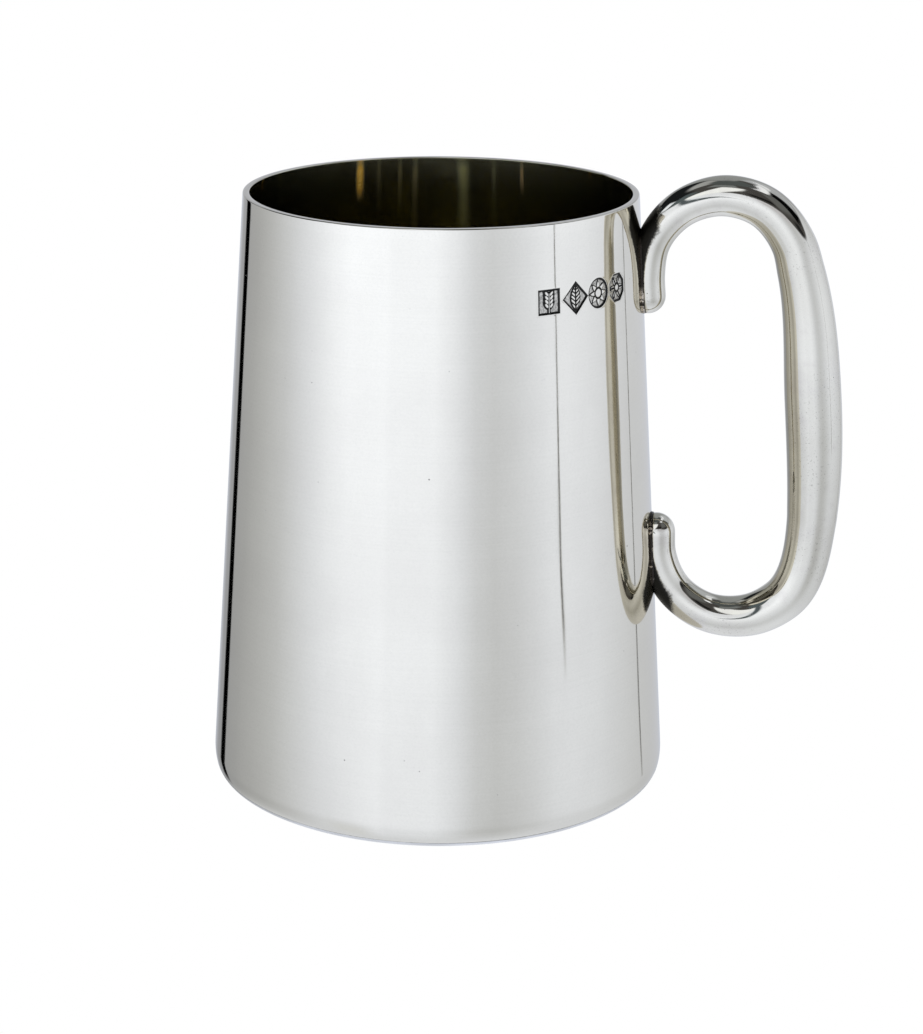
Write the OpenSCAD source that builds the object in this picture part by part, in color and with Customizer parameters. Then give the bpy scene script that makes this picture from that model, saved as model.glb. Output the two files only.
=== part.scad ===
// A plain pewter tankard: a tapered drum with a let-in base and a hollow loop handle soldered on.
// The Z axis is the drum's axis, Z = 0 is the surface it stands on, and the handle is on +X.

/* [Drum] */
// Height from the table to the lip
height = 116; // [90:1:150]
// Outside diameter at the lip
rim_d = 75.6; // [60:0.1:100]
// Outside diameter of the straight taper, carried down to the table
base_d = 91.1; // [70:0.1:120]
// Thickness of the spun wall
wall_t = 1.3; // [0.9:0.1:3]
// Radius worked on the inner and outer edge of the lip
lip_r = 0.4; // [0.1:0.05:0.6]
// Height over which the foot of the wall turns in
foot_turn_h = 4.2; // [2:0.1:8]
// How far the foot of the wall turns in by the time it reaches the table
foot_turn_in = 1.3; // [0.5:0.1:3]

/* [Base disc] */
// Thickness of the disc's edge, which shows as a line round the foot
base_edge_t = 0.8; // [0.5:0.1:2]
// Thickness of the part of the disc that stands up inside the wall
base_plug_t = 1.5; // [0.8:0.1:4]
// Width of the flat ring that the tankard stands on
foot_ring_w = 4.5; // [2:0.1:12]
// Depth of the recess turned in the underside
recess_depth = 0.9; // [0.3:0.1:2]
// Gap between the plug and the wall, for the solder to run in
plug_gap = 0.08; // [0.02:0.01:0.5]
// Leg of the solder fillet round the inside corner
base_fillet = 1.2; // [0.5:0.1:3]

/* [Handle] */
// Distance from the lip down to the end of the upper foot's straight part
upper_foot_drop = 19.1; // [12:0.1:40]
// Distance from there down to the end of the lower foot's straight part
feet_apart = 47.2; // [35:0.1:60]
// Height of the feet's centre line off the wall, so that each is filed to seat
foot_standoff = 1.0; // [0.2:0.1:3]
// Diameter of the upper foot
upper_foot_d = 6.7; // [5:0.1:10]
// Diameter of the lower foot
lower_foot_d = 7.4; // [5:0.1:10]
// Diameter of the arch above the lip
arch_d = 8.2; // [6:0.1:12]
// Diameter of the grip at its thickest
grip_d = 11; // [8:0.1:16]
// Diameter of the heel, where the loop turns back to the wall
heel_d = 8.7; // [6:0.1:12]
// Greatest distance of the handle's centre line from the wall
reach = 31.8; // [25:0.1:45]
// Thickness of the metal in the slush-cast hollow
cast_t = 1.9; // [1.2:0.1:2.5]

/* [Handle solder] */
// Width of the solder bead round each foot
bead_w = 0.7; // [0.3:0.1:1.5]
// Height of the solder bead off the wall
bead_h = 0.9; // [0.3:0.1:2]

/* [Struck marks] */
// Size of each mark across its outline
mark_size = 5.6; // [4:0.1:8]
// Distance from the lip down to the middle of the row
mark_drop = 14; // [8:0.5:30]
// Angle from the handle to the nearest mark
mark_first = 25; // [20:1:60]
// Angle from one mark to the next
mark_step = 8.9; // [8:0.1:20]
// Depth of each struck field
mark_depth = 0.25; // [0.1:0.05:0.5]

/* [Hidden] */

wall_fn = 180;
turn_steps = 8;
lip_steps = 5;
mark_count = 4;
past = 5; // how far a cutter runs past what it cuts
base_top = base_edge_t + base_plug_t;

// Radius of the straight taper's outside at height z, carried on above the lip
function taper_r(z) = base_d / 2 + (rim_d - base_d) / 2 * z / height;

// Outside radius of the drum at height z, with the quarter ellipse that turns the foot in
function drum_r(z) = taper_r(z) - (z >= foot_turn_h ? 0 :
    foot_turn_in * (1 - sqrt(1 - pow(1 - z / foot_turn_h, 2))));

function inner_r(z) = drum_r(z) - wall_t;

// Heights on the turned-in foot from z_low up to its top, closer together near the table
function turn_heights(z_low) = [for (i = [0 : turn_steps])
    z_low + (foot_turn_h - z_low) * pow(i / turn_steps, 2)];

// Outline of the wall: up the outside, over the lip in two round edges, and down the inside
module wall_outline() {
    zs = turn_heights(base_edge_t);
    outer = [for (z = zs) [drum_r(z), z]];
    lip_out = [for (i = [0 : lip_steps]) let (a = 90 * i / lip_steps)
        [rim_d / 2 - lip_r * (1 - cos(a)), height - lip_r * (1 - sin(a))]];
    lip_in = [for (i = [0 : lip_steps]) let (a = 90 + 90 * i / lip_steps)
        [rim_d / 2 - wall_t + lip_r * (1 + cos(a)), height - lip_r * (1 - sin(a))]];
    inner = [for (i = [turn_steps : -1 : 0]) [inner_r(zs[i]), zs[i]]];
    polygon(concat(outer, lip_out, lip_in, inner));
}

// Outlines of the four struck fields
module mark_outline(i) {
    if (i == 0) circle(d = mark_size, $fn = 8);
    if (i == 1) circle(d = mark_size, $fn = 48);
    if (i == 2) circle(d = mark_size * 1.1, $fn = 4);
    if (i == 3) square(mark_size * 0.82, center = true);
}

module marks() {
    z = height - mark_drop;
    lean = atan((base_d - rim_d) / 2 / height);
    for (i = [0 : mark_count - 1])
        rotate([0, 0, -mark_first - mark_step * i])
            translate([taper_r(z) - mark_depth, 0, z])
                rotate([0, 90 - lean, 0])
                    linear_extrude(height = past)
                        mark_outline(i);
}

module body_wall() {
    color("silver")
        difference() {
            rotate_extrude($fn = wall_fn) wall_outline();
            marks();
        }
}

// Disc with a thin edge under the wall, a plug inside it, and a shallow recess underneath
module base_disc() {
    low = [for (i = [0 : 4]) base_edge_t * pow(i / 4, 2)];
    plug_r = inner_r(base_edge_t) - plug_gap;
    ring_in = drum_r(0) - foot_ring_w;
    color("gainsboro")
        rotate_extrude($fn = wall_fn)
            polygon(concat(
                [[0, recess_depth], [ring_in - recess_depth, recess_depth], [ring_in, 0]],
                [for (z = low) [drum_r(z), z]],
                [[plug_r, base_edge_t], [plug_r, base_top], [0, base_top]]
            ));
}

// Solder that fills the gap round the plug and makes a fillet on it
module base_solder() {
    plug_r = inner_r(base_edge_t) - plug_gap;
    fillet_z = base_top + base_fillet;
    zs = [for (z = turn_heights(base_edge_t)) if (z < fillet_z - 0.1) z];
    color("darkgray")
        rotate_extrude($fn = wall_fn)
            polygon(concat(
                [[plug_r, base_edge_t]],
                [for (z = zs) [inner_r(z), z]],
                [[inner_r(fillet_z), fillet_z], [plug_r - base_fillet, base_top], [plug_r, base_top]]
            ));
}

// The handle's centre line as [distance off the wall, distance below the lip, radius], from the upper
// foot over the arch and down the grip to the lower foot. The loop between the feet keeps its shape:
// distances off the wall follow reach, and those below the lip follow feet_apart.
loop_w = reach / 31.8;
loop_h = feet_apart / 47.2;
lower_drop = upper_foot_drop + feet_apart;
function below(d) = upper_foot_drop + (d - 19.1) * loop_h;
stations = [
    [foot_standoff, upper_foot_drop, upper_foot_d / 2],
    [foot_standoff, below(15.2), upper_foot_d / 2],
    [2.4 * loop_w, below(8.6), upper_foot_d / 2],
    [8.2 * loop_w, below(1.9), upper_foot_d / 4 + arch_d / 4 - 0.1],
    [15.6 * loop_w, below(-0.6), arch_d / 2 - 0.2],
    [23.1 * loop_w, below(1.2), arch_d / 2],
    [28.7 * loop_w, below(8.2), arch_d / 2 + 0.2],
    [30.0 * loop_w, below(13.5), arch_d / 4 + grip_d / 4 - 0.25],
    [reach, below(38), grip_d / 2],
    [31.4 * loop_w, below(59.4), grip_d / 4 + heel_d / 4 + 0.1],
    [31.1 * loop_w, below(62.7), heel_d / 2 + 0.5],
    [25.1 * loop_w, below(79.1), heel_d / 2 + 0.1],
    [19.3 * loop_w, below(82.5), heel_d / 2 - 0.1],
    [10.3 * loop_w, below(82.6), heel_d / 4 + lower_foot_d / 4 - 0.1],
    [4.2 * loop_w, below(78.5), lower_foot_d / 2],
    [foot_standoff - 0.1, below(70.5), lower_foot_d / 2],
    [foot_standoff - 0.1, lower_drop, lower_foot_d / 2]
];

// The same points as [x, z, radius]
pts = [for (s = stations) [taper_r(height - s[1]) + s[0], height - s[1], s[2]]];
last = len(pts) - 1;
spans = [for (i = [0 : last - 1]) norm([pts[i + 1][0] - pts[i][0], pts[i + 1][1] - pts[i][1]])];

// Slope of the curve at point i: the parabola through it and its two neighbours
function slope(i) =
    i == 0 ? (pts[1] - pts[0]) / spans[0] :
    i == last ? (pts[last] - pts[last - 1]) / spans[last - 1] :
    ((pts[i] - pts[i - 1]) / spans[i - 1] * spans[i] + (pts[i + 1] - pts[i]) / spans[i] * spans[i - 1])
        / (spans[i - 1] + spans[i]);

// Cubic curve from point i to point i + 1, at the share u of the way
function along(i, u) =
    (2 * u * u * u - 3 * u * u + 1) * pts[i] + (u * u * u - 2 * u * u + u) * spans[i] * slope(i)
    + (3 * u * u - 2 * u * u * u) * pts[i + 1] + (u * u * u - u * u) * spans[i] * slope(i + 1);

// Rings from point a to point b, some steps to each span
function centre_line(a, b, steps) = concat(
    [for (i = [a : b - 1], k = [0 : steps - 1]) along(i, k / steps)],
    [pts[b]]);

function heading(line, i) =
    let (p = line[max(i - 1, 0)], q = line[min(i + 1, len(line) - 1)])
    [q[0] - p[0], q[1] - p[1]] / norm([q[0] - p[0], q[1] - p[1]]);

// Round ends: rings that shrink along a quarter circle before the first and after the last point
function with_round_ends(line, grow) =
    let (n = len(line) - 1, cap = 4)
    concat(
        [for (k = [cap : -1 : 1]) let (a = 84 * k / cap, r = line[0][2] + grow, t = heading(line, 0))
            [line[0][0] - t[0] * r * sin(a), line[0][1] - t[1] * r * sin(a), r * cos(a), t[0], t[1]]],
        [for (i = [0 : n]) let (t = heading(line, i))
            [line[i][0], line[i][1], line[i][2] + grow, t[0], t[1]]],
        [for (k = [1 : cap]) let (a = 84 * k / cap, r = line[n][2] + grow, t = heading(line, n))
            [line[n][0] + t[0] * r * sin(a), line[n][1] + t[1] * r * sin(a), r * cos(a), t[0], t[1]]]
    );

// A round tube of varying thickness along a line in the XZ plane, grown by grow all round
module tube(line, grow, sides) {
    rings = with_round_ends(line, grow);
    n = len(rings);
    points = [for (g = rings, j = [0 : sides - 1])
        let (a = 360 * j / sides)
        [g[0] - g[4] * g[2] * cos(a), g[2] * sin(a), g[1] + g[3] * g[2] * cos(a)]];
    quads = [for (i = [0 : n - 2], j = [0 : sides - 1]) let (k = (j + 1) % sides)
        [i * sides + j, i * sides + k, (i + 1) * sides + k, (i + 1) * sides + j]];
    halves = [for (q = quads) each [[q[0], q[1], q[2]], [q[0], q[2], q[3]]]];
    first_end = [for (j = [sides - 1 : -1 : 0]) j];
    last_end = [for (j = [0 : sides - 1]) (n - 1) * sides + j];
    polyhedron(points = points, faces = concat([first_end], halves, [last_end]), convexity = 6);
}

handle_sides = 20;
handle_steps = 3;

// Solid block of the drum's straight taper, grown by grow, that trims the feet and the solder
module drum_block(grow) {
    translate([0, 0, -past])
        cylinder(
            r1 = taper_r(-past) + grow,
            r2 = taper_r(height) + grow,
            h = height + past,
            $fn = wall_fn
        );
}

// Solid feet filed to the wall's taper, and a hollow from the arch to the heel
module handle() {
    color("silver")
        difference() {
            tube(centre_line(0, last, handle_steps), 0, handle_sides);
            drum_block(0);
            tube(centre_line(3, last - 3, 2), -cast_t, 12);
        }
}

// Solder bead round one foot, between the wall and bead_h off it
module foot_solder(a, b) {
    color("darkgray")
        difference() {
            intersection() {
                tube(centre_line(a, b, handle_steps), bead_w, handle_sides);
                drum_block(bead_h);
            }
            drum_block(0);
            tube(centre_line(0, last, handle_steps), 0, handle_sides);
        }
}

module handle_top_solder() {
    foot_solder(0, 2);
}

module handle_bottom_solder() {
    foot_solder(last - 2, last);
}

body_wall();
base_disc();
handle();
handle_top_solder();
handle_bottom_solder();
base_solder();
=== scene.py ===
"""A plain pewter tankard: spun drum, let-in base, hollow loop handle, solder and struck marks."""
import math

import bpy
import numpy as np
from mathutils import Matrix, Vector


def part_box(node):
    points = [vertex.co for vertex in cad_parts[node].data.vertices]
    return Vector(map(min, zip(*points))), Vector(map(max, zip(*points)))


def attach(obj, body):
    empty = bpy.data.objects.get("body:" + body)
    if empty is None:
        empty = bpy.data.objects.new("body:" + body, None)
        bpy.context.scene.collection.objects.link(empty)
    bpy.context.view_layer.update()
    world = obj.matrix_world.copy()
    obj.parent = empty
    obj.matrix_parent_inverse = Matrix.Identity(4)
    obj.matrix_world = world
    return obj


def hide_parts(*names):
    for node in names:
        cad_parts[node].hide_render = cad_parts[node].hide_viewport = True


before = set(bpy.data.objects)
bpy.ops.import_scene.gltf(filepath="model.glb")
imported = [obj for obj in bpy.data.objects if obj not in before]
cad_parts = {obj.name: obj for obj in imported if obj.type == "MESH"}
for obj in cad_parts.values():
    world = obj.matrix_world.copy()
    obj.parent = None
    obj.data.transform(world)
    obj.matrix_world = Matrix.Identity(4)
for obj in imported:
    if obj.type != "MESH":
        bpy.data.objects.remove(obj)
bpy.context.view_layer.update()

MM = 0.001

# ---------------------------------------------------------------- sizes, from the frame where it has them

wall_lo, wall_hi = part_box("body_wall")
plate_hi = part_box("base_disc")[1]

HEIGHT = wall_hi.z
SEAM = wall_lo.z                    # where the wall meets the base plate's edge
FLOOR = plate_hi.z                  # the inside floor
LEAN = 7.75 / 116                   # how much the drum narrows for each unit of height
TURN_H = 4.2 * MM                   # height over which the foot turns in
TURN_IN = 1.1 * MM                  # how far it has turned in at the table
FOOT_R = wall_hi.y + 0.25 * MM      # the straight taper carried down to the table
WALL = 1.3 * MM
LIP_OUT = 0.25 * MM                 # how far the lip is rounded off outside
LIP_IN = 0.18 * MM                  # and inside
RECESS = 0.9 * MM
RING_W = 4.5 * MM
PLUG_GAP = 0.08 * MM
FILLET = 1.2 * MM
SEAM_CUT = 0.09 * MM                # depth of the fine groove where the wall meets the base


def taper_r(z):
    """Outside radius of the straight taper: the foot radius less the lean times the height."""
    return FOOT_R - LEAN * z


def drum_r(z):
    """Outside radius of the drum: the taper, less a quarter ellipse over the last few millimetres."""
    down = np.clip(1 - np.asarray(z) / TURN_H, 0, 1)
    return taper_r(z) - TURN_IN * (1 - np.sqrt(1 - down ** 2))


def smooth(x):
    """0 below 0, 1 above 1, and 3x^2 - 2x^3 between."""
    x = np.clip(x, 0, 1)
    return x * x * (3 - 2 * x)


# ---------------------------------------------------------------- meshes from grids of points


def skin(name, grid, close_rows=False, first_pole=None, last_pole=None):
    """Quads over grid[row, column]. Columns close on themselves; rows do when asked; poles get fans."""
    rows, cols = grid.shape[:2]
    points = grid.reshape(-1, 3)
    row = np.arange(rows if close_rows else rows - 1)
    col = np.arange(cols)
    r, c = np.meshgrid(row, col, indexing="ij")
    r2, c2 = (r + 1) % rows, (c + 1) % cols
    quads = np.stack([r * cols + c, r * cols + c2, r2 * cols + c2, r2 * cols + c], -1).reshape(-1, 4)
    faces = quads.tolist()
    after = (col + 1) % cols
    if first_pole is not None:
        pole = np.full(cols, len(points))
        points = np.vstack([points, first_pole])
        faces += np.stack([pole, after, col], -1).tolist()
    if last_pole is not None:
        pole = np.full(cols, len(points))
        points = np.vstack([points, last_pole])
        base = (rows - 1) * cols
        faces += np.stack([pole, base + col, base + after], -1).tolist()
    mesh = bpy.data.meshes.new(name)
    mesh.from_pydata(points.tolist(), [], faces)
    mesh.shade_smooth()
    piece = bpy.data.objects.new(name, mesh)
    bpy.context.scene.collection.objects.link(piece)
    return piece


def turned(name, outline, angles, **poles):
    """An outline of (radius, height) points carried round the Z axis through the given angles."""
    radius, height = outline[:, 0, None], outline[:, 1, None]
    x, y = radius * np.cos(angles), radius * np.sin(angles)
    grid = np.stack([x, y, height + 0 * x], -1)
    return skin(name, grid, **poles)


def arc(centre, radius, start, stop, steps):
    """Points (radius, height) on a circle from one angle in degrees to another."""
    a = np.radians(np.linspace(start, stop, steps))
    return np.stack([centre[0] + radius * np.cos(a), centre[1] + radius * np.sin(a)], -1)


def finish_piece(piece, node, slot, *materials):
    """Gives a piece its materials and lets it stand for its CAD node."""
    for material in materials:
        piece.data.materials.append(material)
    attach(piece, "root")
    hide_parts(node)


# ---------------------------------------------------------------- node helpers


class Graph:
    """Short ways to add nodes to one material's or world's tree."""

    def __init__(self, owner):
        owner.use_nodes = True
        self.tree = owner.node_tree
        self.tree.nodes.clear()

    def node(self, kind, inputs=(), **settings):
        made = self.tree.nodes.new(kind)
        for key, value in settings.items():
            setattr(made, key, value)
        for key, value in dict(inputs).items():
            self.feed(made.inputs[key], value)
        return made

    def feed(self, socket, value):
        if isinstance(value, bpy.types.NodeSocket):
            self.tree.links.new(value, socket)
        else:
            socket.default_value = value

    def math(self, operation, a, b=0.0, clamp=False):
        made = self.node("ShaderNodeMath", operation=operation, use_clamp=clamp)
        self.feed(made.inputs[0], a)
        self.feed(made.inputs[1], b)
        return made.outputs[0]

    def ease(self, value, low, high, to_low=0.0, to_high=1.0):
        """A smooth step from to_low to to_high as value goes from low to high."""
        made = self.node("ShaderNodeMapRange", interpolation_type="SMOOTHSTEP")
        for key, number in (("Value", value), ("From Min", low), ("From Max", high),
                            ("To Min", to_low), ("To Max", to_high)):
            self.feed(made.inputs[key], number)
        return made.outputs["Result"]

    def mix(self, share, a, b):
        made = self.node("ShaderNodeMix", data_type="RGBA")
        self.feed(made.inputs["Factor"], share)
        self.feed(made.inputs["A"], a)
        self.feed(made.inputs["B"], b)
        return made.outputs["Result"]

    def noise(self, where, scale, detail=3.0, rough=0.5):
        made = self.node("ShaderNodeTexNoise",
                         {"Vector": where, "Scale": scale, "Detail": detail, "Roughness": rough})
        return made.outputs["Fac"]

    def placed(self, where, scale=(1, 1, 1), turn=(0, 0, 0)):
        """The same coordinates, turned and stretched."""
        made = self.node("ShaderNodeMapping", {"Vector": where, "Rotation": turn, "Scale": scale})
        return made.outputs["Vector"]


# ---------------------------------------------------------------- pewter


EDGE_TINT = (1.0, 0.98, 0.945, 1)   # the metal stays warm where it is seen edge on


def pits(g, where, per_metre, share, size):
    """Round pits in a few cells of a Voronoi pattern: 1 in the middle of a pit, 0 outside it."""
    cells = g.node("ShaderNodeTexVoronoi", {"Vector": where, "Scale": per_metre})
    chosen = g.math("GREATER_THAN", g.node("ShaderNodeSeparateColor",
                    {"Color": cells.outputs["Color"]}).outputs[0], 1 - share)
    inside = g.ease(cells.outputs["Distance"], size * 0.4, size, 1.0, 0.0)
    return g.math("MULTIPLY", chosen, inside)


def pewter(name, bright, dull, polish, haze, pit_share=0.02, skin_share=0.0):
    """Polished pewter: cloudy colour and haze, fine scratches, a scatter of pits, patches of casting skin.

    A dark attribute says where it goes near black: patina in the struck marks and the seam groove, and
    painted shade on the handle where it comes close to the wall; noise breaks up the edge of the dark.
    """
    material = bpy.data.materials.new(name)
    g = Graph(material)
    where = g.node("ShaderNodeTexCoord").outputs["Object"]
    cloud = g.noise(where, 45, 4, 0.6)
    streak = g.noise(g.placed(where, (900, 900, 25)), 1, 3, 0.6)
    rub = g.noise(g.placed(where, (60, 2600, 500), (0.5, 0.2, 0.3)), 1, 2, 0.5)
    pit = g.math("ADD", pits(g, where, 700, pit_share, 0.09), pits(g, where, 260, pit_share, 0.05),
                 clamp=True)
    grain = g.noise(where, 3800, 3, 0.7)
    rough_skin = g.math("MULTIPLY", g.ease(g.noise(where, 110, 4, 0.6), 0.66 - skin_share, 0.86 - skin_share),
                        g.ease(grain, 0.40, 0.66))
    # Near black from this attribute: patina in the marks and seam groove, and painted shade in the crevice
    # where the handle meets the wall.
    dark = g.node("ShaderNodeAttribute", attribute_name="tarnish_and_shade").outputs["Fac"]
    crumbs = g.noise(where, 2200, 4, 0.7)
    dark = g.ease(g.math("ADD", dark, g.math("MULTIPLY", g.math("SUBTRACT", crumbs, 0.5), 0.4)), 0.3, 0.6)
    colour = g.mix(g.ease(cloud, 0.3, 0.7), (*dull, 1), (*bright, 1))
    fine = g.math("ADD", g.math("MULTIPLY", g.noise(where, 2300, 3, 0.7), 0.6),
                  g.math("MULTIPLY", rings_about_z(g, where, 2600), 0.4))
    colour = g.mix(g.ease(fine, 0.35, 0.7, 0.0, 0.16), colour, (*[c * 0.78 for c in dull], 1))
    colour = g.mix(g.math("MULTIPLY", rough_skin, 0.5), colour, (0.47, 0.425, 0.39, 1))
    if skin_share:
        blush = g.ease(g.noise(where, 170, 4, 0.65), 0.50, 0.70, 0.0, 0.45)
        colour = g.mix(blush, colour, (0.50, 0.455, 0.385, 1))
        freckled = g.ease(g.noise(where, 75, 3, 0.6), 0.46, 0.60)
        freckle = g.math("MULTIPLY", freckled, g.ease(g.noise(where, 2600, 2, 0.6), 0.60, 0.70))
        colour = g.mix(g.math("MULTIPLY", freckle, 0.55), colour, (0.30, 0.28, 0.23, 1))
    colour = g.mix(pit, colour, (0.16, 0.15, 0.13, 1))
    colour = g.mix(dark, colour, (0.022, 0.021, 0.018, 1))
    rough = g.ease(streak, 0.35, 0.75, polish, polish + haze)
    rough = g.math("ADD", rough, g.math("MULTIPLY", g.math("ADD", pit, dark), 0.3))
    rough = g.math("ADD", rough, g.math("MULTIPLY", rough_skin, 0.05))
    height = g.math("ADD", g.math("MULTIPLY", rub, 0.3), g.math("MULTIPLY", streak, 0.25))
    height = g.math("SUBTRACT", height, g.math("MULTIPLY", pit, 14.0))
    height = g.math("ADD", height, g.math("MULTIPLY", rough_skin, 0.8))
    height = g.math("ADD", height, g.math("MULTIPLY", g.math("MULTIPLY", dark, crumbs), 20.0))
    bump = g.node("ShaderNodeBump", {"Height": height, "Distance": 0.004 * MM, "Strength": 0.5})
    shader = g.node("ShaderNodeBsdfPrincipled", {
        "Base Color": colour, "Metallic": 1.0, "Roughness": rough, "Specular Tint": EDGE_TINT,
        "Normal": bump.outputs["Normal"]})
    g.node("ShaderNodeOutputMaterial", {"Surface": shader.outputs[0]})
    return material


def rings_about_z(g, where, lines):
    """Noise that varies only with the distance from the Z axis and the height: lathe lines."""
    x, y, z = g.node("ShaderNodeSeparateXYZ", {"Vector": where}).outputs
    radius = g.math("SQRT", g.math("ADD", g.math("MULTIPLY", x, x), g.math("MULTIPLY", y, y)))
    across = g.node("ShaderNodeCombineXYZ", {"X": radius, "Y": z})
    return g.noise(g.placed(across.outputs[0], (lines, lines, 1)), 1, 4, 0.7)


def turned_pewter(name, bright, dull, rough_low, rough_high, lines, depth=0.01 * MM):
    """Pewter left from the lathe: fine rings about the Z axis over a cloudy, stained colour."""
    material = bpy.data.materials.new(name)
    g = Graph(material)
    where = g.node("ShaderNodeTexCoord").outputs["Object"]
    ring = rings_about_z(g, where, lines)
    cloud = g.noise(where, 60, 4, 0.6)
    stain = g.noise(where, 22, 3, 0.5)
    colour = g.mix(g.ease(cloud, 0.3, 0.7), (*dull, 1), (*bright, 1))
    colour = g.mix(g.ease(stain, 0.5, 0.8, 0.0, 0.35), colour, (*[c * 0.6 for c in dull], 1))
    rough = g.ease(ring, 0.3, 0.7, rough_low, rough_high)
    bump = g.node("ShaderNodeBump", {"Height": ring, "Distance": depth, "Strength": 0.5})
    shader = g.node("ShaderNodeBsdfPrincipled", {
        "Base Color": colour, "Metallic": 1.0, "Roughness": rough, "Specular Tint": EDGE_TINT,
        "Normal": bump.outputs["Normal"]})
    g.node("ShaderNodeOutputMaterial", {"Surface": shader.outputs[0]})
    return material


# Golden streaks painted down the inside wall as reflections of the light, also rougher there: degrees round
# from the back, half width, top and bottom below the lip in millimetres, strength and colour.
PAINTED_GLINT_STREAKS = (
    (-34.8, 1.35, 0.3, 10.0, 1.0, (0.98, 0.56, 0.09)),
    (-28.3, 0.9, 0.5, 16.0, 0.22, (0.60, 0.42, 0.10)),
    (-21.3, 0.8, 0.3, 14.0, 0.28, (0.62, 0.46, 0.10)),
    (-16.4, 1.1, 1.0, 30.0, 0.32, (0.60, 0.46, 0.12)),
    (-0.8, 2.1, 0.3, 60.0, 0.42, (0.50, 0.46, 0.13)),
    (9.1, 0.8, 0.5, 25.0, 0.20, (0.45, 0.42, 0.15)),
    (18.6, 0.75, 0.3, 9.0, 0.38, (0.78, 0.46, 0.13)),
)


def inside_pewter(name):
    """The drum's inside: dark, drawn out along the axis by lathe lines, with a few rougher streaks whose
    golden colour is a painted reflection of the light.
    """
    material = bpy.data.materials.new(name)
    g = Graph(material)
    where = g.node("ShaderNodeTexCoord").outputs["Object"]
    x, y, z = g.node("ShaderNodeSeparateXYZ", {"Vector": where}).outputs
    round_from_back = g.math("DEGREES", g.math("ARCTAN2", x, y))
    below = g.math("MULTIPLY", g.math("SUBTRACT", HEIGHT, z), 1 / MM)
    ring = rings_about_z(g, where, 6000)
    cloud = g.noise(where, 60, 4, 0.6)
    colour = g.mix(g.ease(cloud, 0.3, 0.7), (0.49, 0.466, 0.29, 1), (0.57, 0.543, 0.343, 1))
    dull = None
    for centre, half, top, bottom, strength, tint in PAINTED_GLINT_STREAKS:
        off = g.math("ABSOLUTE", g.math("SUBTRACT", round_from_back, centre))
        run = g.math("MULTIPLY", g.ease(off, half * 0.1, half * 1.5, strength, 0.0),
                     g.ease(below, bottom * 0.5, bottom, 1.0, 0.0))
        run = g.math("MULTIPLY", run, g.ease(below, top, top + 2.5, 0.4, 1.0))
        # Painted reflection: each streak's golden colour stands in for light reflected down the inside wall.
        colour = g.mix(g.math("MINIMUM", g.math("MULTIPLY", run, 1.6), 1.0), colour, (*tint, 1))
        dull = run if dull is None else g.math("MAXIMUM", dull, run)
    dull = g.math("MULTIPLY", dull, g.ease(ring, 0.25, 0.65, 0.85, 1.05))
    smudge = g.ease(g.noise(g.placed(where, (70, 70, 140)), 1, 4, 0.6), 0.58, 0.74, 0.0, 0.014)
    rough = g.math("ADD", g.ease(ring, 0.3, 0.7, 0.075, 0.09), g.math("MULTIPLY", dull, 0.19))
    rough = g.math("ADD", rough, smudge)
    bump = g.node("ShaderNodeBump", {"Height": ring, "Distance": 0.0008 * MM, "Strength": 0.5})
    shader = g.node("ShaderNodeBsdfPrincipled", {
        "Base Color": colour, "Metallic": 1.0, "Roughness": rough, "Anisotropic": 1.0,
        "Anisotropic Rotation": 0.25, "Normal": bump.outputs["Normal"]})
    g.node("ShaderNodeOutputMaterial", {"Surface": shader.outputs[0]})
    return material


def solder_metal(name, dark, light, share, light_top=None):
    """Dull solder: coarse grains and dark pores, mostly dark with patches of light metal.

    With light_top, it goes light only below that height.
    """
    material = bpy.data.materials.new(name)
    g = Graph(material)
    where = g.node("ShaderNodeTexCoord").outputs["Object"]
    grain = g.noise(where, 2600, 4, 0.7)
    patch = g.noise(where, 520, 4, 0.7)
    pore = pits(g, where, 2200, 0.35, 0.3)
    clean = g.ease(patch, 0.62 - share, 0.72 - share)
    if light_top is not None:
        z = g.node("ShaderNodeSeparateXYZ", {"Vector": where}).outputs[2]
        clean = g.math("MULTIPLY", clean, g.ease(z, light_top - 2 * MM, light_top, 1.0, 0.0))
    colour = g.mix(clean, (*dark, 1), (*light, 1))
    colour = g.mix(pore, colour, (0.03, 0.028, 0.024, 1))
    height = g.math("SUBTRACT", grain, pore)
    bump = g.node("ShaderNodeBump", {"Height": height, "Distance": 0.12 * MM, "Strength": 0.7})
    shader = g.node("ShaderNodeBsdfPrincipled", {
        "Base Color": colour, "Metallic": 1.0, "Roughness": g.ease(grain, 0.3, 0.7, 0.2, 0.5),
        "Normal": bump.outputs["Normal"]})
    g.node("ShaderNodeOutputMaterial", {"Surface": shader.outputs[0]})
    return material


# ---------------------------------------------------------------- struck marks

MARK_SIZE = 5.6 * MM
MARK_Z = HEIGHT - 14 * MM
MARK_FIRST = math.radians(25)
MARK_STEP = math.radians(8.9)
MARK_DEPTH = 0.2 * MM


def rosette(u, v):
    """Six petals about a button: inside where r is under a wave of six lobes."""
    r, a = np.hypot(u, v), np.arctan2(v, u)
    petals = r - (1.55 + 0.65 * np.cos(6 * a))
    veins = 0.16 - np.abs(((a / (2 * np.pi) * 6 + 0.5) % 1) - 0.5) * r * 1.1
    ring = 0.17 - np.abs(r - 0.75)
    return np.maximum(np.maximum(petals, np.where(r > 0.9, veins, -1)), ring)


def sun(u, v):
    """A disc with eight pointed rays."""
    r, a = np.hypot(u, v), np.arctan2(v, u)
    wedge = np.abs(((a / (2 * np.pi) * 8 + 0.5) % 1) - 0.5) * 2
    rays = r - (2.25 - 1.25 * wedge)
    ring = 0.14 - np.abs(r - 0.95)
    return np.maximum(rays, ring)


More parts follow.
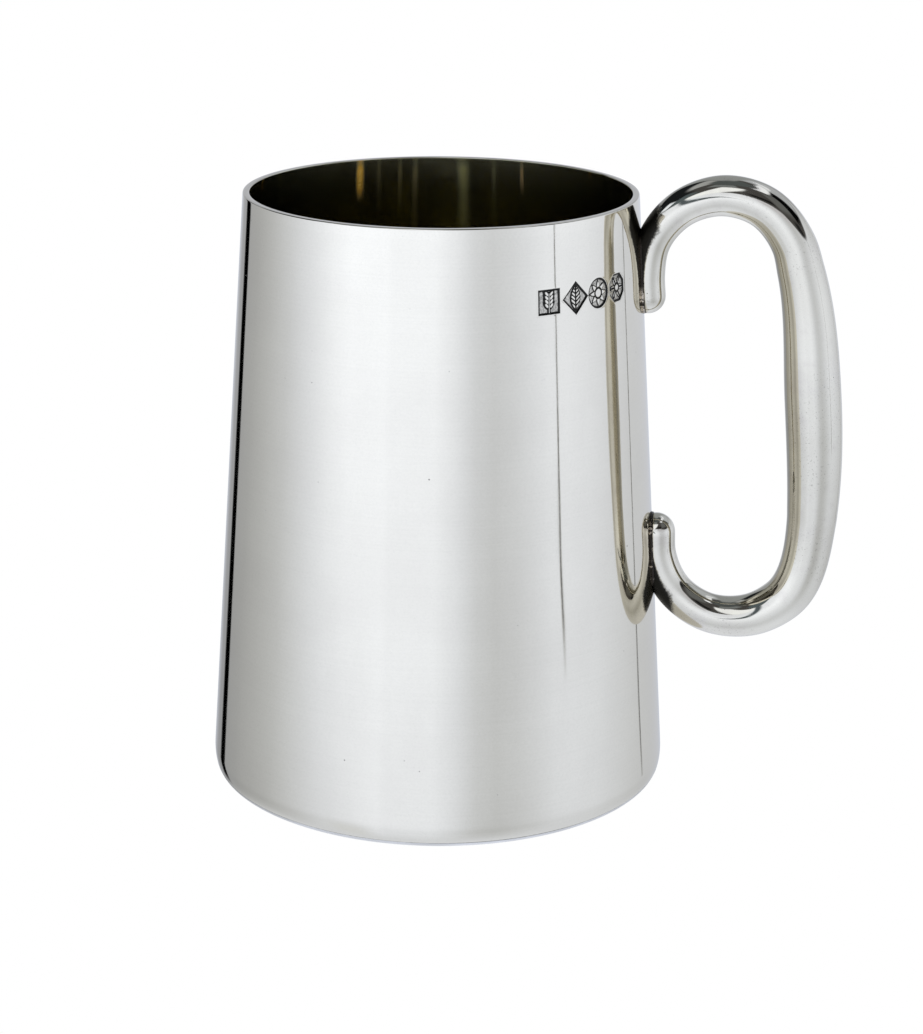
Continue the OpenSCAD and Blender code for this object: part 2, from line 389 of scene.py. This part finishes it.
def leaf(u, v):
    """A pointed leaf with a midrib and slanting veins."""
    blade = np.abs(u) - 1.05 * np.clip(1 - (v / 2.3) ** 2, 0, 1)
    rib = 0.12 - np.abs(u)
    vein = 0.10 - np.abs(((v - np.abs(u) * 0.8) / 0.72 + 0.5) % 1 - 0.5) * 0.72
    return np.maximum(np.maximum(blade, rib), np.where(np.abs(v) < 1.9, vein, -1))


def wheat(u, v):
    """An ear of wheat: a stem with four pairs of grains leaning out from it."""
    shape = np.maximum(np.abs(u) - 0.11, np.abs(v + 0.3) - 1.9)
    for k in range(4):
        rise = -0.65 + 0.72 * k
        for side in (-1, 1):
            du, dv = u * side - 0.52, v - rise
            turn = math.radians(38)
            p, q = du * math.cos(turn) - dv * math.sin(turn), du * math.sin(turn) + dv * math.cos(turn)
            shape = np.minimum(shape, (np.hypot(p / 0.27, q / 0.55) - 1) * 0.27)
    return shape


def field_edge(kind, u, v):
    """Distance outside the struck field: an octagon, a circle, a lozenge or a square."""
    half = MARK_SIZE / MM / 2
    au, av = np.abs(u), np.abs(v)
    if kind == 0:
        return np.maximum(np.maximum(au, av), (au + av) / math.sqrt(2)) - half * math.cos(math.pi / 8)
    if kind == 1:
        return np.hypot(u, v) - half
    if kind == 2:
        return (au + av) / math.sqrt(2) - half * 1.1 / math.sqrt(2)
    return np.maximum(au, av) - half * 0.82


ORNAMENTS = (rosette, sun, leaf, wheat)


def struck(angle, z):
    """How deep the metal is struck in and how dark it has gone, over a grid of angles and heights."""
    depth, dark = np.zeros(angle.shape), np.zeros(angle.shape)
    slant = math.hypot(1, LEAN)
    for kind, ornament in enumerate(ORNAMENTS):
        middle = -MARK_FIRST - MARK_STEP * kind
        off = (angle - middle + np.pi) % (2 * np.pi) - np.pi
        u, v = off * taper_r(MARK_Z) / MM, (z - MARK_Z) * slant / MM
        edge, shape = field_edge(kind, u, v), ornament(u, v)
        sunk = smooth(-edge / 0.28)
        raised = smooth(0.5 - shape / 0.22) * sunk
        burr = np.exp(-((edge - 0.12) / 0.14) ** 2) * 0.08
        depth += MARK_DEPTH * (sunk * (1 - 0.85 * raised) - burr)
        outline = np.exp(-((edge + 0.12) / 0.15) ** 2) + sunk * np.exp(-((shape - 0.07) / 0.11) ** 2)
        dark += np.clip(outline * 1.1 + sunk * (1 - raised) * 0.43, 0, 1) * (edge < 0.3)
    return depth, np.clip(dark, 0, 1)


# ---------------------------------------------------------------- the drum


def spread(low, high, step):
    """Evenly spaced values from low up to, but not at, high, about a step apart."""
    count = max(1, round((high - low) / step))
    return low + (high - low) * np.arange(count) / count


def make_drum(outside, inside):
    """The wall as one closed shell: outside up, over the lip, inside down, and back under."""
    fine = 0.075 * MM / taper_r(MARK_Z)
    first = -MARK_FIRST + math.radians(5.5)
    last = -MARK_FIRST - 3 * MARK_STEP - math.radians(5.5)
    angles = np.concatenate([spread(last, first, fine), spread(first, last + 2 * np.pi, math.radians(1.5))])
    half = 3.6 * MM
    turn = SEAM + (TURN_H - SEAM) * (np.arange(14) / 14) ** 2
    heights = np.concatenate([
        turn, spread(TURN_H, MARK_Z - half, 8 * MM), spread(MARK_Z - half, MARK_Z + half, 0.075 * MM),
        spread(MARK_Z + half, HEIGHT - LIP_OUT, 1.5 * MM)])
    lip_out_r, lip_in_r = taper_r(HEIGHT) - LIP_OUT, taper_r(HEIGHT) - WALL + LIP_IN
    over = np.concatenate([
        arc((lip_out_r, HEIGHT - LIP_OUT), LIP_OUT, 0, 90, 9),
        arc((lip_in_r, HEIGHT - LIP_IN), LIP_IN, 90, 180, 7)])
    down = np.concatenate([spread(TURN_H, HEIGHT - 2 * MM, 9 * MM)[::-1], turn[::-1]])
    seam_r = drum_r(SEAM)
    groove = [(seam_r - SEAM_CUT, SEAM), (seam_r - 0.2 * SEAM_CUT, SEAM + 0.6 * SEAM_CUT)]
    outer = np.concatenate([groove, np.stack([drum_r(heights), heights], -1)[1:]])
    inner = np.stack([drum_r(down) - WALL, down], -1)
    outline = np.concatenate([outer, over, inner])
    radius = outline[:, 0, None] + 0 * angles
    height = outline[:, 1, None] + 0 * angles
    depth, dark = struck(angles[None] + 0 * radius[:len(outer)], height[:len(outer)])
    radius[:len(outer)] -= depth
    grid = np.stack([radius * np.cos(angles), radius * np.sin(angles), height], -1)
    drum = skin("drum_wall", grid, close_rows=True)
    tarnish_and_shade = np.zeros(radius.shape)
    tarnish_and_shade[:len(outer)] = dark
    tarnish_and_shade[:len(groove)] = [[0.75], [0.5]]
    set_tarnish_and_shade(drum, tarnish_and_shade.ravel())
    cols = len(angles)
    row = np.arange(len(drum.data.polygons)) // cols
    inside_from = len(outer) + len(over) - 2
    drum.data.polygons.foreach_set("material_index", (row >= inside_from).astype(np.int32))
    finish_piece(drum, "body_wall", "pewter_polished", outside, inside)


def make_base_plate(under, floor_metal):
    """The let-in base: a thin edge under the wall, a recessed underside and a flat floor inside."""
    angles = np.linspace(0, 2 * np.pi, 240, endpoint=False)
    plug_r = drum_r(SEAM) - WALL - PLUG_GAP
    ring_in = drum_r(0) - RING_W
    edge_z = SEAM * (np.arange(7) / 6) ** 2
    soft = 0.25 * MM
    outline = np.array([
        *[(r * MM, RECESS) for r in (0.5, 3, 8, 14, 20, 26, 32)],
        (ring_in - RECESS - soft, RECESS), (ring_in - RECESS, RECESS - soft * 0.3),
        (ring_in - soft * 0.3, soft * 0.6), (ring_in + soft, 0), (drum_r(0) - soft, 0),
        *zip(drum_r(edge_z[:-1]), edge_z[:-1]),
        (drum_r(SEAM), SEAM - 0.6 * SEAM_CUT), (drum_r(SEAM) - SEAM_CUT, SEAM),
        (plug_r, SEAM), (plug_r, FLOOR - 0.01 * MM), (plug_r - 0.02 * MM, FLOOR),
        *[(r * MM, FLOOR) for r in (38, 32, 26, 20, 14, 8, 3, 0.5)]])
    plate = turned("base_plate", outline, angles, first_pole=(0, 0, RECESS), last_pole=(0, 0, FLOOR))
    plate.data.flip_normals()
    faces = plate.data.polygons
    top = np.zeros(len(faces), np.int32)
    centres = np.zeros(len(faces) * 3)
    faces.foreach_get("center", centres)
    top[centres.reshape(-1, 3)[:, 2] > FLOOR - 0.1 * MM] = 1
    faces.foreach_set("material_index", top)
    finish_piece(plate, "base_disc", "pewter_turned", under, floor_metal)


def set_tarnish_and_shade(piece, values):
    """Stores how dark each vertex is painted, from 0 to 1: patina in the struck marks and the seam groove,
    and painted shade on the handle near the wall.
    """
    stored = piece.data.attributes.new("tarnish_and_shade", "FLOAT", "POINT")
    stored.data.foreach_set("value", np.ascontiguousarray(values))


def make_base_fillet(metal):
    """The solder run round the inside corner, from the wall down to the floor."""
    angles = np.linspace(0, 2 * np.pi, 360, endpoint=False)
    plug_r = drum_r(SEAM) - WALL - PLUG_GAP
    top = FLOOR + FILLET
    wall_z = np.linspace(SEAM, top, 9)
    face = np.radians(np.linspace(0, 90, 9))
    wall_r = drum_r(top) - WALL
    outline = np.concatenate([
        np.stack([drum_r(wall_z) - WALL, wall_z], -1),
        np.stack([wall_r - FILLET * np.sin(face) ** 1.5, top - FILLET * (1 - np.cos(face) ** 1.5)], -1)[1:],
        [(plug_r, FLOOR), (plug_r, SEAM)]])
    fillet = turned("base_fillet", outline, angles, close_rows=True)
    finish_piece(fillet, "base_solder", "solder", metal)


# ---------------------------------------------------------------- the handle

# Distance off the wall, distance below the lip and radius, in millimetres, from the upper foot over the
# arch and down the grip to the lower foot.
STATIONS = np.array([
    (1.0, 19.1, 3.35), (1.0, 15.2, 3.35), (2.4, 8.6, 3.35), (8.2, 1.9, 3.62), (15.6, -0.6, 3.9),
    (23.1, 1.2, 4.1), (28.7, 8.2, 4.3), (30.0, 13.5, 4.55), (31.8, 38.0, 5.5), (31.4, 59.4, 5.02),
    (31.1, 62.7, 4.85), (25.1, 79.1, 4.45), (19.3, 82.5, 4.25), (10.3, 82.6, 3.92), (4.2, 78.5, 3.7),
    (0.9, 70.5, 3.7), (0.9, 66.3, 3.7)]) * MM


def centre_line(steps):
    """Points (x, z, radius) on a cubic through the stations, whose slope is a three-point parabola's."""
    z = HEIGHT - STATIONS[:, 1]
    pts = np.stack([taper_r(z) + STATIONS[:, 0], z, STATIONS[:, 2]], -1)
    span = np.hypot(*np.diff(pts[:, :2], axis=0).T)[:, None]
    rate = np.diff(pts, axis=0) / span
    slope = np.vstack([
        rate[:1], (rate[:-1] * span[1:] + rate[1:] * span[:-1]) / (span[:-1] + span[1:]), rate[-1:]])
    u = (np.arange(steps) / steps)[None, :, None]
    a, b = pts[:-1, None], pts[1:, None]
    ma, mb = (slope[:-1] * span)[:, None], (slope[1:] * span)[:, None]
    line = ((2 * u ** 3 - 3 * u ** 2 + 1) * a + (u ** 3 - 2 * u ** 2 + u) * ma
            + (3 * u ** 2 - 2 * u ** 3) * b + (u ** 3 - u ** 2) * mb)
    return np.vstack([line.reshape(-1, 3), pts[-1:]])


def tube_rings(line, cap_steps):
    """The line with quarter-circle caps, as x, z, radius and heading along the line."""
    heading = np.gradient(line[:, :2], axis=0)
    heading /= np.hypot(*heading.T)[:, None]
    a = np.radians(np.linspace(88, 0, cap_steps, endpoint=False))[:, None]
    ends = []
    for k, sign in ((0, -1), (-1, 1)):
        r, t = line[k, 2], heading[k]
        middle = line[k, :2] + sign * t * r * np.sin(a)
        ends.append(np.hstack([middle, r * np.cos(a), np.repeat(t[None], cap_steps, 0)]))
    body = np.hstack([line, heading])
    return np.vstack([ends[0], body, ends[1][::-1]])


def outside_wall(grid, sink):
    """Points that would be inside the drum, moved straight out to just under its surface."""
    radius = np.hypot(grid[..., 0], grid[..., 1])
    least = taper_r(grid[..., 2]) - sink
    push = np.maximum(least / radius, 1)
    out = grid.copy()
    out[..., :2] *= push[..., None]
    return out


def make_handle(metal):
    """A round tube of varying thickness, its feet flattened on the wall."""
    rings = tube_rings(centre_line(30), 14)
    a = np.linspace(0, 2 * np.pi, 96, endpoint=False)
    x, z, r, tx, tz = rings.T[:, :, None]
    r = r * 0.985
    grid = np.stack([x - tz * r * np.cos(a), r * np.sin(a) + 0 * x, z + tx * r * np.cos(a)], -1)
    ends = [np.array([rings[k, 0], 0, rings[k, 1]]) for k in (0, -1)]
    grid = outside_wall(grid, 0.12 * MM)
    handle = skin("loop_handle", grid, first_pole=ends[0], last_pole=ends[1])
    # Painted shade: the tube goes near black where it comes close to the wall, standing in for the shadow in
    # the crevice between tube and drum.
    gap = np.hypot(grid[..., 0], grid[..., 1]) - taper_r(grid[..., 2])
    reach = np.clip(0.75 * MM + 1.6 * (x - taper_r(z) - 0.9 * MM), 0.5 * MM, 5.5 * MM)
    dark = smooth(1.15 - gap / reach)
    set_tarnish_and_shade(handle, np.append(dark.ravel(), [0, 0]))
    finish_piece(handle, "handle", "pewter_polished", metal)


def make_bead(name, node, metal, low_end, seed):
    """Solder round one foot: a hollow fillet carried along the line where the tube meets the wall."""
    line = centre_line(30)
    if low_end:
        line = line[::-1]
    stand = line[:, 0] - taper_r(line[:, 1])
    keep = stand < line[:, 2] * 0.985
    keep &= np.cumprod(keep).astype(bool)
    line, stand = line[keep], stand[keep]
    half = np.sqrt(np.maximum(line[:, 2] ** 2 - stand ** 2, 0))
    way = 1 if low_end else -1
    end = np.radians(np.linspace(0, 180, 33))
    zc, wc = line[0, 1], half[0]
    lateral = np.concatenate([half[::-1], wc * np.cos(end), -half])
    height = np.concatenate([line[::-1, 1], zc + way * wc * np.sin(end), line[:, 1]])
    path = np.stack([lateral, height], -1)
    outward = np.gradient(path, axis=0)
    outward /= np.maximum(np.hypot(*outward.T), 1e-9)[:, None]
    outward = np.stack([outward[:, 1], -outward[:, 0]], -1) * (-way)
    rng = np.random.default_rng(seed)
    lumps = 1 + 0.12 * np.convolve(rng.standard_normal(len(path) + 8), np.ones(9) / 3, "valid")[:len(path)]
    turn = np.radians(np.linspace(0, 90, 8))
    section = np.concatenate([
        np.stack([1 - np.sin(turn), 1 - np.cos(turn)], -1), [(-0.5, 0.9), (-0.7, -0.3), (0.9, -0.3)]])
    width, tall = 0.42 * MM, 0.5 * MM
    off = section[None, :, 0] * width * lumps[:, None]
    rise = section[None, :, 1] * tall * lumps[:, None]
    side = path[:, None, 0] + outward[:, None, 0] * off
    z = path[:, None, 1] + outward[:, None, 1] * off
    radius = taper_r(z) + rise
    angle = side / taper_r(z)
    grid = np.stack([radius * np.cos(angle), radius * np.sin(angle), z], -1)
    tail = grid.mean(axis=1)
    bead = skin(name, grid, first_pole=tail[0], last_pole=tail[-1])
    finish_piece(bead, node, "solder", metal)


# ---------------------------------------------------------------- light

STUDIO_TINT = (1.23, 1.32, 1.574)   # the light is white once the metal has warmed it

CAMERA_TURN = math.radians(8)  # how far the viewpoint is from square on to the handle

# The white flats that stand round the tankard: azimuth from the camera in degrees, and brightness.
FLATS = (
    (-180, 0.56), (-165, 0.51), (-155, 0.36), (-139.5, 0.41),
    (-126, 0.46), (-110, 0.56), (-93, 0.69), (-77, 0.86), (-61, 1.04), (-50, 1.12), (-30, 1.15),
    (-26, 1.11), (-3, 1.09), (8, 0.96), (19, 0.78), (29, 0.72), (40, 0.77), (50, 0.85), (61, 0.94),
    (72, 0.96), (88, 0.92), (104, 0.84), (120, 0.76), (132, 0.71), (150, 0.66), (165, 0.60), (180, 0.56))

# Gaps between flats: azimuth, half width, lowest elevation they are open at, brightness inside.
GAPS = ((66.5, 0.77, -15.1, 0.1), (126.5, 0.95, -21.5, 0.1))

# Lamps, reflectors and dark places overhead: azimuth, half width, elevation, half height, edge,
# brightness, tint, and how far the azimuth moves for each degree of elevation.
LAMPS = (
    (58, 22, 45, 13, 5, 0.15, (1.0, 1.0, 0.94), 0.0),
    (87, 15, 43, 16, 2, 0.002, (1.0, 1.0, 1.0), 0.0),
    (60, 7, 23, 4, 2, 0.02, (1.0, 1.0, 1.0), 0.0),
    (18, 16, 21, 4, 4, 0.66, (1.0, 0.965, 0.97), 0.0),
    (180, 42, 17, 7, 5, 0.38, (1.0, 1.0, 0.98), 0.0),
    (18, 14, 37, 4, 3, 0.010, (1.0, 1.0, 1.0), 0.0),
    (137, 32, 45, 18, 5, 0.55, (0.98, 1.0, 1.0), 0.0),
    (180, 24, 48, 28, 7, 0.34, (0.98, 1.0, 0.96), 0.0),
    (-120, 34, 64, 8, 4, 0.42, (1.0, 1.0, 0.96), 0.0),
    (-110, 48, 41, 14, 3, 0.014, (0.9, 1.0, 1.05), 0.0),
    (-25, 28, 66, 5, 3, 0.24, (0.95, 1.0, 0.96), 0.0),
    (-20, 17, 42, 16, 3, 1.15, (1.0, 1.0, 0.97), 0.9),
    (-55, 9, 38, 10, 3, 0.13, (0.82, 1.0, 1.02), 0.0),
    (-31, 4, 17, 16, 2, 0.12, (0.85, 1.0, 1.05), -1.1),
    (-75, 9, 33, 5, 2, 1.10, (0.95, 0.98, 1.0), 0.0),
    (88, 36, 64, 5, 2, 1.10, (1.0, 1.0, 1.0), -2.0),
    (134, 12, 52, 5, 2, 0.95, (1.0, 1.0, 1.0), -2.2),
    (-47, 10, -34, 9, 8, 0.76, (1.0, 1.0, 0.98), 0.0),
)


def light_world():
    """A white tent under a dark ceiling with lamps, described by direction only."""
    world = bpy.data.worlds.new("studio")
    bpy.context.scene.world = world
    g = Graph(world)
    way = g.node("ShaderNodeTexCoord").outputs["Generated"]
    x, y, z = g.node("ShaderNodeSeparateXYZ", {"Vector": way}).outputs
    azimuth = g.math("ARCTAN2", x, g.math("MULTIPLY", y, -1.0))
    azimuth = g.math("SUBTRACT", g.math("DEGREES", azimuth), math.degrees(CAMERA_TURN))
    azimuth = g.math("WRAP", azimuth, 180.0)
    azimuth.node.inputs[2].default_value = -180.0
    elevation = g.math("DEGREES", g.math("ARCSINE", z))

    def aside(centre):
        """Degrees between an azimuth and the one looked at, either way round."""
        off = g.math("WRAP", g.math("SUBTRACT", azimuth, centre), 180.0)
        off.node.inputs[2].default_value = -180.0
        return g.math("ABSOLUTE", off)

    ramp = g.node("ShaderNodeValToRGB", {"Fac": g.math("DIVIDE", g.math("ADD", azimuth, 180.0), 360.0)})
    stops = ramp.color_ramp.elements
    for where, bright in FLATS:
        place = (where + 180) / 360
        stop = stops[0] if place == 0 else stops[-1] if place == 1 else stops.new(place)
        stop.color = (bright / 2, bright / 2, bright / 2, 1)
    tent = g.math("MULTIPLY", g.node("ShaderNodeSeparateColor", {"Color": ramp.outputs[0]}).outputs[0], 2.0)
    for centre, half, lowest, inside in GAPS:
        bend = g.ease(elevation, lowest - 0.5, lowest + 2.5, -1.6, 0.0)
        off = aside(g.math("SUBTRACT", centre, bend))
        width = g.ease(elevation, lowest, lowest + 9, half * 1.4, half * 0.7)
        shut = g.math("SMOOTH_MIN", g.math("DIVIDE", off, width), 1.0)
        open_here = g.math("MULTIPLY", g.math("SUBTRACT", 1.0, shut),
                           g.ease(elevation, lowest - 0.8, lowest + 1.2))
        tent = g.math("MULTIPLY", tent, g.math("SUBTRACT", 1.0, g.math("MULTIPLY", open_here, 1 - inside)))
    tent = g.math("MULTIPLY", tent, g.ease(elevation, -30, 2, 0.80, 1.05))
    tent = g.math("MULTIPLY", tent, g.ease(elevation, 2, 18, 1.0, 0.86))
    fall = g.math("MULTIPLY", g.ease(aside(-76), 18, 48, 1.0, 0.0), g.ease(elevation, -22, -4, -0.085, 0.05))
    tent = g.math("MULTIPLY", tent, g.math("ADD", 1.0, fall))
    low = g.ease(elevation, -50, -24, 1.0, 0.0)
    ground = g.math("MULTIPLY", low, g.ease(elevation, -75, -42, 0.91, 0.76))
    tent = g.math("ADD", g.math("MULTIPLY", tent, g.math("SUBTRACT", 1.0, low)), ground)
    colour = g.mix(g.ease(tent, 0.4, 0.9), (1.0, 0.995, 0.96, 1), (0.99, 1.0, 1.02, 1))
    tent_colour = g.node("ShaderNodeVectorMath", operation="SCALE")
    g.feed(tent_colour.inputs[0], colour)
    g.feed(tent_colour.inputs["Scale"], tent)
    top = g.ease(aside(60), 5, 45, 19.0, 27.0)
    above = g.ease(g.math("SUBTRACT", elevation, top), -1.5, 1.5)
    sky = g.mix(above, tent_colour.outputs[0], (0.075, 0.070, 0.064, 1))
    sky = g.mix(g.ease(elevation, 69, 76), sky, (0.095, 0.105, 0.10, 1))
    for centre, half_w, height, half_h, edge, strength, tint, lean in LAMPS:
        middle = g.math("ADD", centre, g.math("MULTIPLY", g.math("SUBTRACT", elevation, height), lean))
        inside = g.math("MULTIPLY", g.ease(aside(middle), half_w - edge, half_w + edge, 1.0, 0.0),
                        g.ease(g.math("ABSOLUTE", g.math("SUBTRACT", elevation, height)),
                               half_h - edge, half_h + edge, 1.0, 0.0))
        sky = g.mix(inside, sky, (*[strength * t for t in tint], 1))
    tint = g.node("ShaderNodeVectorMath", operation="MULTIPLY")
    g.feed(tint.inputs[0], sky)
    g.feed(tint.inputs[1], STUDIO_TINT)
    sky = tint.outputs[0]
    seen = g.node("ShaderNodeLightPath").outputs["Is Camera Ray"]
    sky = g.mix(seen, sky, (1, 1, 1, 1))
    back = g.node("ShaderNodeBackground", {"Color": sky, "Strength": 1.0})
    g.node("ShaderNodeOutputWorld", {"Surface": back.outputs[0]})


def stand_flag():
    """A black card close behind the drum on the left: it darkens the drum's edge and no other piece's.

    It is part of a cylinder about the drum's axis, leaning a little, and its edges fade out.
    """
    radius, low, high = 0.15, -0.078, 0.24
    z, across = np.meshgrid(np.linspace(low, high, 60), np.linspace(-136, -122, 57), indexing="ij")
    cover = smooth((across + 134.3) / 2.9) * smooth((-124.3 - across) / 1.2) * smooth((z - low) / 0.018)
    turn = np.radians(across - 22.5 * (z - 0.014)) + CAMERA_TURN
    points = np.stack([radius * np.sin(turn), -radius * np.cos(turn), z], -1).reshape(-1, 3)
    rows, cols = z.shape
    corner = (np.arange(rows - 1)[:, None] * cols + np.arange(cols - 1)).ravel()
    faces = np.stack([corner, corner + 1, corner + cols + 1, corner + cols], -1)
    mesh = bpy.data.meshes.new("black card")
    mesh.from_pydata(points.tolist(), [], faces.tolist())
    mesh.attributes.new("cover", "FLOAT", "POINT").data.foreach_set("value", cover.ravel())
    card = bpy.data.objects.new("black card", mesh)
    bpy.context.scene.collection.objects.link(card)
    material = bpy.data.materials.new("black card")
    g = Graph(material)
    black = g.node("ShaderNodeEmission", {"Color": (0, 0, 0, 1), "Strength": 0.0})
    clear = g.node("ShaderNodeBsdfTransparent")
    share = g.node("ShaderNodeAttribute", attribute_name="cover").outputs["Fac"]
    both = g.node("ShaderNodeMixShader", {0: share, 1: clear.outputs[0], 2: black.outputs[0]})
    g.node("ShaderNodeOutputMaterial", {"Surface": both.outputs[0]})
    mesh.materials.append(material)
    card.visible_camera = False
    card.visible_diffuse = False
    card.visible_shadow = False


def lay_floor():
    """A plain pale floor, seen by the camera from above and left out of the metal's reflections."""
    half = 4.0
    below = -0.05 * MM
    mesh = bpy.data.meshes.new("floor")
    corners = [(x * half, y * half, below) for x, y in ((-1, -1), (1, -1), (1, 1), (-1, 1))]
    mesh.from_pydata(corners, [], [(0, 1, 2, 3)])
    floor = bpy.data.objects.new("floor", mesh)
    bpy.context.scene.collection.objects.link(floor)
    material = bpy.data.materials.new("pale floor")
    g = Graph(material)
    pale = g.node("ShaderNodeEmission", {"Color": (1, 1, 1, 1), "Strength": 1.0})
    clear = g.node("ShaderNodeBsdfTransparent")
    under = g.node("ShaderNodeNewGeometry").outputs["Backfacing"]
    both = g.node("ShaderNodeMixShader", {0: under, 1: pale.outputs[0], 2: clear.outputs[0]})
    g.node("ShaderNodeOutputMaterial", {"Surface": both.outputs[0]})
    mesh.materials.append(material)
    floor.visible_glossy = False
    floor.visible_diffuse = False
    floor.visible_shadow = False


def place_camera():
    """Looks a little down at the tankard, with the handle to the right and turned slightly forward."""
    pitch, roll = math.radians(17.44), math.radians(0.35)
    distance, aim = 0.4861, 0.05664
    data = bpy.data.cameras.new("camera")
    data.lens, data.sensor_width = 85.5, 36.0
    data.shift_x, data.shift_y = 0.0214, -0.0292
    data.clip_start, data.clip_end = 0.01, 20
    camera = bpy.data.objects.new("camera", data)
    a = CAMERA_TURN
    back = Vector((math.sin(a) * math.cos(pitch), -math.cos(a) * math.cos(pitch), math.sin(pitch)))
    facing = (-back).to_track_quat("-Z", "Y").to_matrix() @ Matrix.Rotation(roll, 3, "Z")
    camera.matrix_world = Matrix.Translation(Vector((0, 0, aim)) + back * distance) @ facing.to_4x4()
    bpy.context.scene.collection.objects.link(camera)
    bpy.context.scene.camera = camera


# ---------------------------------------------------------------- make it all

bright_wall = pewter("bright pewter, spun", (0.68, 0.638, 0.527), (0.65, 0.608, 0.503), 0.03, 0.05)
inside_wall = inside_pewter("inside of the drum")
plate_under = turned_pewter(
    "turned underside", (0.62, 0.60, 0.55), (0.50, 0.48, 0.43), 0.18, 0.35, lines=2200)
plate_floor = turned_pewter(
    "turned floor", (0.56, 0.53, 0.42), (0.48, 0.45, 0.34), 0.10, 0.2, lines=1800, depth=0.003 * MM)
bright_handle = pewter(
    "bright pewter, cast", (0.62, 0.582, 0.478), (0.575, 0.538, 0.438), 0.04, 0.06,
    pit_share=0.06, skin_share=0.12)
upper_solder = solder_metal(
    "solder, upper foot", (0.03, 0.025, 0.02), (0.5, 0.43, 0.33), 0.2, light_top=HEIGHT - 16.5 * MM)
lower_solder = solder_metal("solder, lower foot", (0.03, 0.025, 0.02), (0.4, 0.34, 0.26), 0.06)
inside_solder = solder_metal("inside solder", (0.16, 0.15, 0.12), (0.5, 0.47, 0.4), 0.2)

make_drum(bright_wall, inside_wall)
make_base_plate(plate_under, plate_floor)
make_base_fillet(inside_solder)
make_handle(bright_handle)
make_bead("upper_bead", "handle_top_solder", upper_solder, False, 3)
make_bead("lower_bead", "handle_bottom_solder", lower_solder, True, 5)

light_world()
stand_flag()
lay_floor()
place_camera()
bpy.context.scene.view_settings.view_transform = "Standard"
bpy.context.scene.cycles.glossy_bounces = 12
bpy.context.scene.cycles.max_bounces = 12
